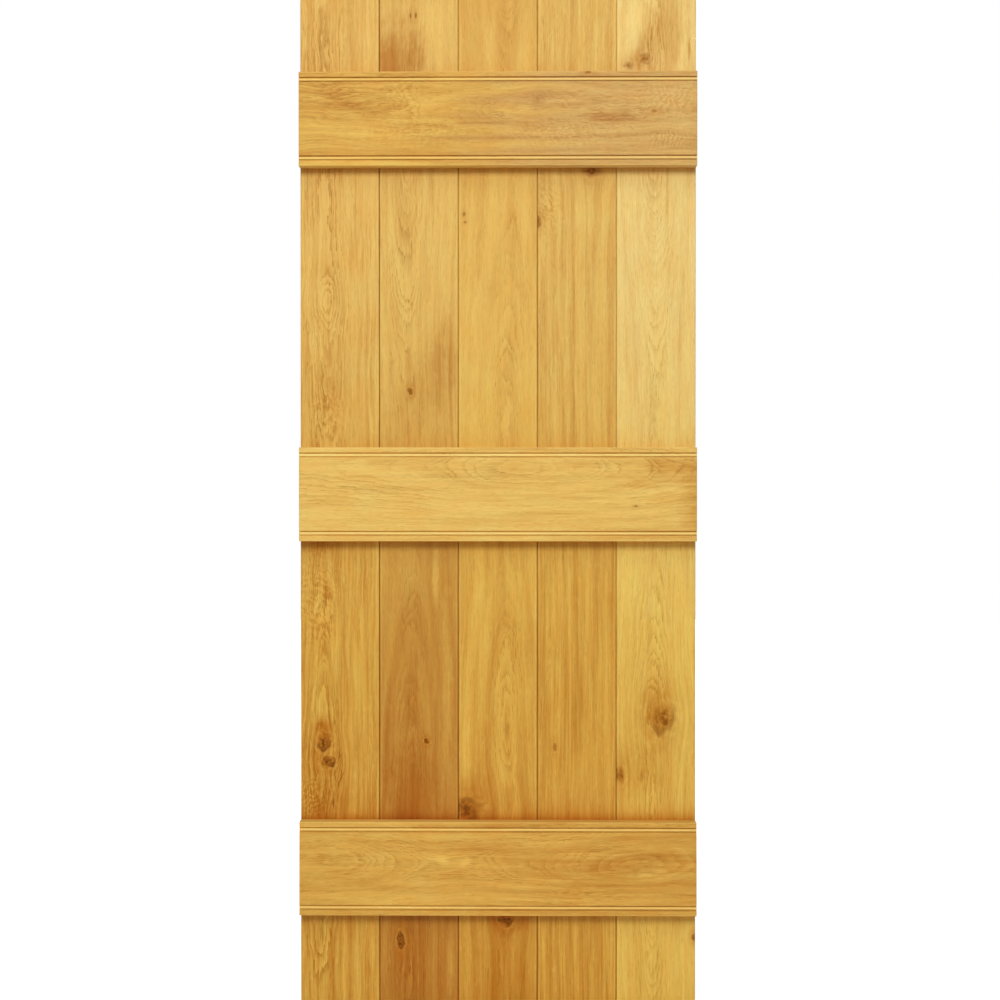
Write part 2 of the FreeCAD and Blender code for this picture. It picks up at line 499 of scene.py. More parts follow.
# A soft stain with an edge that frays along the grain, leaning over as it goes up
def makeCloud():
    tree, (grain, fray, across, along, wide, tall, lean) = startGroup(
        "oak cloud", "Grain Fray Across Along Wide Tall Lean", "Amount"
    )
    x, _, z = parts(grain)
    up = z - along
    offX = (x - across - up * lean) / wide
    offZ = up / tall
    distance = maths("SQRT", offX * offX + offZ * offZ) + fray * stainForm["fray"]
    return endGroup(tree, Amount=1 - ramp(distance, *stainForm["edge"]))


curlyForm = {"fall": 1.2, "wander": 22, "strayGain": 1.6, "strayLoss": 0.2}


# Curly figure: bars across the grain, a sine whose phase wanders, inside a soft patch
def makeRipple():
    form = curlyForm
    tree, (grain, strayA, strayB, across, along, wide, tall, pitch, lean) = startGroup(
        "oak ripple", "Grain StrayA StrayB Across Along Wide Tall Pitch Lean", "Amount"
    )
    x, _, z = parts(grain)
    offX = (x - across) / wide
    offZ = (z - along) / tall
    within = maths("EXPONENT", (offX * offX + offZ * offZ) * -form["fall"])
    wave = maths("SINE", (z + x * lean) / pitch * (2 * pi) + strayA * form["wander"])
    strength = strayB * form["strayGain"] - form["strayLoss"]
    return endGroup(tree, Amount=wave * within * strength)


crackForm = {"wobblePitch": 60, "wobbleStep": 90, "wobble": 0.008, "core": 0.4, "softEdge": 0.0001}


# A drying crack: near to the line from one end to the other, thinning out at both
def makeCheck():
    form = crackForm
    tree, (grain, across, along, lean, length, width) = startGroup(
        "oak check", "Grain Across Along Lean Length Width", "Amount"
    )
    x, _, z = parts(grain)
    step = (z - along) / length  # -0.5 to 0.5 from end to end
    wobble = lineNoise(z * form["wobblePitch"] + across * form["wobbleStep"]) - 0.5
    away = maths("ABSOLUTE", x - across - lean * step + wobble * form["wobble"])
    slim = width * maths("MAXIMUM", 1 - step * step * 4, 0.0)
    amount = 1 - ramp(away, slim * form["core"], slim + form["softEdge"])
    return endGroup(tree, Amount=amount * maths("LESS_THAN", maths("ABSOLUTE", step), 0.5))


groups = {
    "rings": makeRings(),
    "flow": makeFlow(),
    "pores": makePores(),
    "fibres": makeFibres(),
    "knotPlace": makeKnotPlace(),
    "knot": makeKnot(),
    "cloud": makeCloud(),
    "ripple": makeRipple(),
    "check": makeCheck(),
}
print("shader groups made:", len(groups))


# What all the oak shares. A mix is how far the colour goes over to the tone above it.
oak = {
    "haloTone": tone(186, 112, 28),  # about a knot
    "haloMix": 0.65,
    "haloDepth": 0.15,
    "paleDepth": -0.4,
    "knotBrown": tone(158, 94, 16),
    "brownMix": 0.9,
    "brownFill": 1.5,
    "knotDark": tone(100, 48, 2),  # of its rim and heart, and of the glue round a pellet
    "darkMix": 0.8,
    "leastDark": 0.4,
    "checkDark": tone(130, 74, 18),
    "checkMix": 0.8,
    "endTone": tone(150, 98, 45),  # sawn ends
    "endMix": 0.55,
    "endTurn": (0.6, 0.9),  # how far the normal lies along the grain
    "sheenEdge": (0.3, 0.75),  # where along the piece the painted sheen's tones come in
    "farStray": 0.4,
    "depthStray": 0.2,
    "softShare": 0.4,  # of the S-curve in how tones go from pale to deep
    "greenFall": 1.3,  # where it darkens the wood also reddens: green falls faster than red
    "blueFall": 1.8,
    "blueHue": 2,
    "poreDark": 0.3,
    "poresInLines": 0.7,
    "lineDark": 0.14,
    "specular": 0.1,
    "roughness": 0.5,
    "poreRough": 0.15,
    "endRough": 0.3,
    "highlightRough": -0.1,
    "bump": 0.00025,
    "bumpStrength": 0.5,
    "fineHeight": 0.25,
    "poreHeight": -0.8,
    "checkHeight": -1.2,
}


# All of a piece's figure by name. Its grain is led round the knots, and the seed moves the piece to
# its own part of the noises.
def grownWood(position, along, look):
    tree = position.tree
    knot = noKnot
    for x, z, size, stretch, dark, ring in look["knots"]:
        sockets = dict(Across=x, Along=z, Size=size, Stretch=stretch, Dark=dark, Ring=ring)
        last = {"Last" + label: value for label, value in knot.items()}
        knot = useGroup(tree, "knotPlace", Grain=position, **sockets, **last)
    straight = stretched(position, (1, 1, 1), (look["seed"], -boardBack, look["seed"] * 1.7))
    flow = useGroup(tree, "flow", Grain=straight, Sway=look["sway"], Wave=look["wave"])
    grain = stretched(joined(flow["Shift"] - knot["Shift"], 0.0, 0.0), (1, 1, 1), straight)
    rings = useGroup(
        tree,
        "rings",
        Grain=grain,
        PithAcross=look["pithAcross"] + look["seed"],
        PithDepth=curve(along, look["pithDepth"], *look["span"]),
        RingWidth=look["ringWidth"],
        Wander=look["wander"],
        Curl=look["curl"],
        Fade=look["fade"],
    )
    wood = {**rings, **useGroup(tree, "pores", Grain=straight), **useGroup(tree, "fibres", Grain=grain)}
    wood["Shown"] = curve(along, look["figure"], *look["span"]) if look["figure"] else 1.0
    if look["knots"]:
        wood.update(useGroup(tree, "knot", Spot=knot["Spot"]))
        wood["Dark"], wood["Ring"], _ = parts(knot["Kind"])
    return wood


# How deep the colour is, from the pale tone at 0 to the deep one at 1
def colourDepth(position, across, along, look, wood):
    broad = wood["Broad"] - 0.5
    tilt = (across - look["pithAcross"]) * look["deepLean"]
    deep = curve(along - tilt + broad * oak["depthStray"], look["deepening"], *look["span"])
    figure = broad * look["broadContrast"] + (wood["Streak"] - 0.5) * look["streakContrast"]
    figure = figure + (wood["Band"] - 0.5) * look["bandContrast"] - wood["Fleck"] * look["fleckContrast"]
    figure = figure + wood["Line"] * look["lineContrast"] + wood["Dash"] * look["dashContrast"]
    deep = deep + figure * wood["Shown"]
    for x, z, wide, tall, lean, amount in look["clouds"]:
        sockets = dict(Across=x, Along=z, Wide=wide, Tall=tall, Lean=lean, Fray=wood["Fray"])
        deep = deep + useGroup(position.tree, "cloud", Grain=position, **sockets)["Amount"] * amount
    stray = {label: wood[label] for label in ("StrayA", "StrayB")}
    for x, z, wide, tall, pitch, lean, amount in look["ripples"]:
        sockets = dict(Across=x, Along=z, Wide=wide, Tall=tall, Pitch=pitch, Lean=lean, **stray)
        deep = deep + useGroup(position.tree, "ripple", Grain=position, **sockets)["Amount"] * amount
    if look["knots"]:
        about = wood["Halo"] * oak["haloDepth"] + wood["Pale"] * oak["paleDepth"]
        deep = deep + about * wood["Dark"]
    return deep


def woodColour(deep, along, look, wood):
    pale, full = look["pale"], look["deep"]
    # painted sheen: paler, greyer tones towards the far end of the piece
    if "sheenPale" in look:
        low, high = look["span"]
        start, end = (low + (high - low) * share for share in oak["sheenEdge"])
        far = ramp(along + (wood["Broad"] - 0.5) * oak["farStray"], start, end)
        pale = blended(far, pale, look["sheenPale"])
        full = blended(far, full, look["sheenDeep"])
    held = maths("MINIMUM", maths("MAXIMUM", deep, 0.0), 1.0)
    mixed = ramp(deep, 0.0, 1.0) * oak["softShare"] + held * (1 - oak["softShare"])
    line = wood["Line"] * wood["Shown"]
    pores = wood["Pore"] * (line * oak["poresInLines"] + (1 - oak["poresInLines"]))
    shade = 1 + (wood["Fine"] - 0.5) * look["fineContrast"] - line * oak["lineDark"]
    shade = shade - pores * oak["poreDark"]
    hue = (wood["Hue"] - 0.5) * look["hueDrift"]
    green = shade ** oak["greenFall"] * (hue + 1)
    blue = shade ** oak["blueFall"] * (hue * oak["blueHue"] + 1)
    colour = stretched(blended(mixed, pale, full), joined(shade, green, blue))
    if look["knots"]:
        heart, dark, ring = wood["Heart"], wood["Dark"], wood["Ring"]
        core = maths("MINIMUM", heart * oak["brownFill"] * dark, 1.0)
        eye = heart ** 2 * (ring * (1 - oak["leastDark"]) + oak["leastDark"])
        edge = maths("MAXIMUM", wood["Rim"] * ring, eye)
        colour = blended(wood["Halo"] * dark * oak["haloMix"], colour, oak["haloTone"])
        colour = blended(core * oak["brownMix"], colour, oak["knotBrown"])
        colour = blended(edge * dark * oak["darkMix"], colour, oak["knotDark"])
    return colour


# A board, or a ledge, which is turned. The grain vector is Object coordinates, given a quarter turn
# for a ledge so that its grain runs along x. edgeName is an attribute, 1 where a glue line shows.
def oakMaterial(name, look, turned, edgeName=None):
    material = bpy.data.materials.new(name)
    material.use_nodes = True
    tree = material.node_tree
    surface = tree.nodes["Principled BSDF"]
    place = tree.nodes.new("ShaderNodeTexCoord")
    mapping = tree.nodes.new("ShaderNodeMapping")
    mapping.inputs["Rotation"].default_value = (0, -pi / 2 if turned else 0, 0)
    tree.links.new(place.outputs["Object"], mapping.inputs["Vector"])
    position = Signal(tree, mapping.outputs["Vector"])
    across, through, along = parts(position)
    wood = grownWood(position, along, look)
    colour = woodColour(colourDepth(position, across, along, look, wood), along, look, wood)
    height = wood["Fine"] * oak["fineHeight"] + wood["Pore"] * oak["poreHeight"]
    for x, z, lean, length, width in look["checks"]:
        sockets = dict(Across=x, Along=z, Lean=lean, Length=length, Width=width)
        crack = useGroup(tree, "check", Grain=position, **sockets)["Amount"]
        colour = blended(crack * oak["checkMix"], colour, oak["checkDark"])
        height = height + crack * oak["checkHeight"]

    # painted shade in the bead quirks and under the ledges, dark joints, and painted highlights on
    # crowns, arrises and beside joints
    if turned:
        jointDarkAndQuirkShade, paintedHighlight = beadShadeAndHighlight(across, through, look)
    else:
        jointDarkAndQuirkShade, paintedHighlight = jointDarkAndHighlight(across, through, along, look)
        colour = paintedLedgeShade(colour, through, along)
    colour = blended(jointDarkAndQuirkShade, colour, jointsAndPaintedLight["jointDarkAndQuirkShadeTone"], "MULTIPLY")
    colour = blended(paintedHighlight, colour, jointsAndPaintedLight["highlightTone"], "SCREEN")
    if edgeName:
        edge = tree.nodes.new("ShaderNodeAttribute")
        edge.attribute_name = edgeName
        glue = Signal(tree, edge.outputs["Fac"])
        colour = blended(glue * oak["darkMix"], colour, oak["knotDark"])

    # sawn ends: the normal lies along the grain
    normal = parts(Signal(tree, place.outputs["Normal"]))
    sawn = ramp(maths("ABSOLUTE", normal[0 if turned else 2]), *oak["endTurn"])
    plug(tree, surface.inputs["Base Color"], blended(sawn * oak["endMix"], colour, oak["endTone"]))
    surface.inputs["Specular IOR Level"].default_value = oak["specular"]
    gloss = oak["roughness"] + wood["Pore"] * oak["poreRough"] + sawn * oak["endRough"]
    plug(tree, surface.inputs["Roughness"], gloss + paintedHighlight * oak["highlightRough"])
    bump = tree.nodes.new("ShaderNodeBump")
    bump.inputs["Strength"].default_value = oak["bumpStrength"]
    bump.inputs["Distance"].default_value = oak["bump"]
    plug(tree, bump.inputs["Height"], height)
    tree.links.new(bump.outputs["Normal"], surface.inputs["Normal"])
    return material


# Dark joints, painted shade in the quirks and under the ledges, and painted highlights on proud places
# and beside the joints.
# Reaches and edges are metres, and in an edge the mark changes from the first to the second.
jointsAndPaintedLight = {
    "jointDarkAndQuirkShadeTone": tone(190, 165, 70),
    "highlightTone": tone(212, 160, 84),
    "quirkShadeEdge": (0.0014, 0.003),  # below the ledge's face
    "quirkShadeReach": 1.8,  # in half widths of the bead, as is the crown's edge
    "crownEdge": (0.5, 0.95),
    "crownSink": 0.0026,
    "arrisEdge": (0.003, 0.0008),  # in from the ledge's long edges
    "arrisHighlight": 0.4,
    "jointEdge": (0.0004, 0.0018),
    "highlightFrom": (0.0018, 0.003),
    "highlightTo": (0.004, 0.006),
    "jointHighlight": 0.15,
    "frontReach": 0.0026,  # the joint is a wider V on the front
    "frontDark": 0.4,
    "ledgeShadeTone": (0.82, 0.52, 0.25, 1.0),
    "ledgeShadeReach": (0.009, 0.016),  # painted shade under each ledge, and above the bottom one
    "ledgeShadeMix": (0.9, 0.95),
    "softShadowReach": 0.02,  # of the painted soft shadow a little below each ledge
    "softShadowDark": 0.12,
    "backSlack": 0.002,
}


# Painted shade in the quirks beside each bead of a ledge, and a painted highlight on the bead's crown and
# the ledge's arrises
def beadShadeAndHighlight(across, through, look):
    away = maths("ABSOLUTE", across + look["middle"])
    sunk = through - look["face"]
    onBead = maths("ABSOLUTE", away - look["beadCentre"]) / ledgeSection["beadWidth"] * 2
    beside = maths("LESS_THAN", onBead, jointsAndPaintedLight["quirkShadeReach"])
    jointDarkAndQuirkShade = ramp(sunk, *jointsAndPaintedLight["quirkShadeEdge"]) * beside * look["quirkShade"]
    crown = 1 - ramp(onBead, *jointsAndPaintedLight["crownEdge"])
    crown = crown * maths("LESS_THAN", sunk, jointsAndPaintedLight["crownSink"])
    start, end = (look["halfWidth"] - inside for inside in jointsAndPaintedLight["arrisEdge"])
    return jointDarkAndQuirkShade, maths("MAXIMUM", crown, ramp(away, start, end) * jointsAndPaintedLight["arrisHighlight"])


# Dark in the joint on each side of a board, painted paler over the gap's shade where the joint shows
# closed up, and a painted highlight band beside it.
# A joint is its place, which way the board lies from it, and how dark it is up the leaf.
def jointDarkAndHighlight(across, through, along, look):
    jointDarkAndQuirkShade = 0.0
    paintedHighlight = 0.0
    onFront = maths("GREATER_THAN", through, 0.0)
    for edge, way, dark in look["joints"]:
        away = (across - edge) * way - onFront * jointsAndPaintedLight["frontReach"]
        strength = curve(along, dark, *look["span"]) * (1 - onFront) + onFront * jointsAndPaintedLight["frontDark"]
        inside = (1 - ramp(away, *jointsAndPaintedLight["jointEdge"])) * strength
        band = ramp(away, *jointsAndPaintedLight["highlightFrom"]) * (1 - ramp(away, *jointsAndPaintedLight["highlightTo"]))
        jointDarkAndQuirkShade = jointDarkAndQuirkShade + maths("MAXIMUM", inside, 0.0)
        paintedHighlight = paintedHighlight + band * jointsAndPaintedLight["jointHighlight"] - maths("MINIMUM", inside, 0.0)
    return jointDarkAndQuirkShade, paintedHighlight


# Painted shade on the ledged side where the boards run in under a ledge, and above the bottom one
def paintedLedgeShade(colour, through, along):
    low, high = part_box("bottom_ledge")
    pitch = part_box("middle_ledge")[0].z - low.z
    under = maths("FLOORED_MODULO", low.z - along, pitch)
    over = maths("ABSOLUTE", along - high.z)
    onBack = maths("LESS_THAN", through, boardBack + jointsAndPaintedLight["backSlack"])
    below, above = (
        maths("EXPONENT", away / -reach) * mix
        for away, reach, mix in zip((under, over), jointsAndPaintedLight["ledgeShadeReach"], jointsAndPaintedLight["ledgeShadeMix"])
    )
    paintedShade = maths("MAXIMUM", below, above)
    colour = blended(paintedShade * onBack, colour, jointsAndPaintedLight["ledgeShadeTone"], "MULTIPLY")
    # a painted soft shadow below each ledge: it rises to 1 at its reach and dies away beyond
    reach = under / jointsAndPaintedLight["softShadowReach"]
    shade = (reach * maths("EXPONENT", 1 - reach)) ** 2
    return blended(shade * onBack * jointsAndPaintedLight["softShadowDark"], colour, black)


# Closed outline through the corners, each rounded by its radius: the arc touches both of the
# corner's sides. The straight runs between arcs are divided about every faceStep, with a support
# point close to either end.
def roundedOutline(corners, radii, faceStep, arcSteps=5, support=0.0006, shortRun=0.0024, same=1e-7):
    corners = np.array(corners, float)
    radii = np.array(radii, float)[:, None]
    toBefore = np.roll(corners, 1, axis=0) - corners
    toAfter = np.roll(corners, -1, axis=0) - corners
    toBefore /= np.linalg.norm(toBefore, axis=1, keepdims=True)
    toAfter /= np.linalg.norm(toAfter, axis=1, keepdims=True)
    half = np.arccos(np.clip((toBefore * toAfter).sum(1, keepdims=True), -1, 1)) / 2
    middle = toBefore + toAfter
    middle /= np.linalg.norm(middle, axis=1, keepdims=True)
    centre = corners + middle * radii / np.sin(half)
    start = corners + toBefore * radii / np.tan(half) - centre
    end = corners + toAfter * radii / np.tan(half) - centre
    sweep = (pi - 2 * half)[:, None]
    share = np.linspace(0, 1, arcSteps + 1)[None, :, None]
    arcs = np.sin((1 - share) * sweep) * start[:, None] + np.sin(share * sweep) * end[:, None]
    arcs = centre[:, None] + arcs / np.sin(sweep)
    runs = []
    for arc, following in zip(arcs, np.roll(arcs, -1, axis=0)):
        runs.append(arc)
        gap = np.linalg.norm(following[0] - arc[-1])
        if gap > shortRun:
            count = max(2, int(np.ceil(gap / faceStep)) + 1)
            steps = np.linspace(support, gap - support, count) / gap
            runs.append(arc[-1] + steps[:, None] * (following[0] - arc[-1]))
    outline = np.concatenate(runs)
    keep = np.linalg.norm(outline - np.roll(outline, 1, axis=0), axis=1) > same
    return outline[keep]


# Closed rings of points along a path, shape (stations, points, 3), skinned with quads and capped.
# The map lays the skin flat in folds side by side, so that a long board fills a square picture.
def sweptPiece(name, rings, folds, margin=0.004, sharpAngle=32):
    stations, around, _ = rings.shape
    index = np.arange(stations * around).reshape(stations, around)
    beside = np.roll(index, -1, axis=1)
    quads = np.stack([index[:-1], beside[:-1], beside[1:], index[1:]], axis=-1).reshape(-1, 4)
    faces = quads.tolist() + [index[0, ::-1].tolist(), index[-1].tolist()]
    mesh = bpy.data.meshes.new(name)
    mesh.from_pydata(rings.reshape(-1, 3).tolist(), [], faces)

    waist = rings[stations // 2]
    girth = np.linalg.norm(np.diff(waist, axis=0, append=waist[:1]), axis=1)
    aroundAt = np.concatenate([[0], np.cumsum(girth)])
    length = np.linalg.norm(np.diff(rings[:, 0], axis=0), axis=1)
    alongAt = np.concatenate([[0], np.cumsum(length)])
    foldLength = alongAt[-1] / folds
    fold = np.minimum((alongAt[:-1] + alongAt[1:]) / 2 // foldLength, folds - 1)
    left = fold * (aroundAt[-1] + margin)
    side = np.stack([aroundAt[:-1], aroundAt[1:], aroundAt[1:], aroundAt[:-1]], axis=-1)
    up = np.stack([alongAt[:-1], alongAt[:-1], alongAt[1:], alongAt[1:]], axis=-1)
    spots = np.zeros((stations - 1, around, 4, 2))
    spots[..., 0] = left[:, None, None] + side
    spots[..., 1] = (up - (fold * foldLength)[:, None])[:, None, :]
    caps = []
    for number, ring in enumerate((rings[0, ::-1], rings[-1])):
        widest = np.argsort(np.ptp(ring, axis=0))[::-1][:2]
        flat = ring[:, widest] - ring[:, widest].min(0)
        caps.append(flat + [number * (flat[:, 0].max() + margin), foldLength + margin])
    spots = np.concatenate([spots.reshape(-1, 2), *caps])
    spots = (spots + margin / 2) / (np.ptp(spots, axis=0).max() + margin)
    layer = mesh.uv_layers.new(name="OFBake")
    layer.uv.foreach_set("vector", spots.astype(np.float32).ravel())

    mesh.shade_smooth()
    mesh.set_sharp_from_angle(angle=radians(sharpAngle))
    mesh.validate()
    piece = bpy.data.objects.new(name, mesh)
    scene.collection.objects.link(piece)
    return piece


# Places along the grain: even steps, with closer ones near each knot, and a few close to both ends
# where the section is eased back by a quarter round
def stationsAlong(low, high, step, knotPlaces, easing, knotStep=0.003, easingSteps=4):
    even = np.linspace(low + easing, high - easing, int((high - low) / step) + 1)
    near = [np.arange(z - reach, z + reach, knotStep) for z, reach in knotPlaces]
    inner = np.unique(np.concatenate([even, *near]).round(5))
    inner = inner[(inner >= low + easing) & (inner <= high - easing)]
    turn = np.linspace(0, pi / 2, easingSteps + 1)[1:]
    rise = easing * np.sin(turn)
    drop = easing * (1 - np.cos(turn))
    stations = np.concatenate([(low + easing - rise)[::-1], inner, high - easing + rise])
    drops = np.concatenate([drop[::-1], np.zeros(len(inner)), drop])
    return stations, drops


# Section of the boards as they are machined, in metres
boardSection = {
    "jointGap": 0.0006,
    "tongueLength": 0.008,
    "tongueThickness": 0.006,
    "tongueLead": 0.0008,
    "sideClearance": 0.0002,
    "endClearance": 0.0015,
    "frontV": 0.004,
    "backArris": 0.0014,
    "edgeRound": 0.002,
    "softening": 0.0003,  # sanding on the sharper corners
    "faceStep": 0.007,
    "stationStep": 0.03,
    "endEasing": 0.0006,
    "knotDish": 0.0005,
    "dishRadius": 0.008,  # of the smallest knot with a full dish
    "knotReach": 3,  # in its radii, where steps along the board are closer
    "faceSlack": 0.00001,
}


# One jointed edge of a board from back to front, with way 1 where the board lies to the right of it.
# Its tongue or groove has this half thickness, this reach and, on its far corners, this rounding.
def jointedEdge(x, way, half, reach, lead):
    soft = boardSection["softening"]
    arris = boardSection["backArris"]
    bevel = boardSection["frontV"]
    return [
        (x + way * arris, boardBack, soft),
        (x, boardBack + arris, soft),
        (x, -half, 0),
        (x + reach, -half, lead),
        (x + reach, half, lead),
        (x, half, 0),
        (x, boardFront - bevel, soft),
        (x + way * bevel, boardFront, soft),
    ]


def plainEdge(x):
    return [(x, boardBack, boardSection["edgeRound"]), (x, boardFront, boardSection["edgeRound"])]


# A groove towards the hinge edge and a tongue towards the lock edge, and the leaf's own edges plain
def boardCorners(number):
    size = boardSection
    left = number * boardPitch
    right = (number + 1) * boardPitch
    half = size["tongueThickness"] / 2
    leftEdge = plainEdge(left)
    rightEdge = plainEdge(right)
    if number > 0:
        deep = size["tongueLength"] - size["jointGap"] + size["endClearance"]
        leftEdge = jointedEdge(left + size["jointGap"] / 2, 1, half + size["sideClearance"], deep, 0)
    if number < len(boardNames) - 1:
        x = right - size["jointGap"] / 2
        rightEdge = jointedEdge(x, -1, half, size["tongueLength"], size["tongueLead"])
    corners = np.array(rightEdge + leftEdge[::-1])
    return corners[:, :2], corners[:, 2]
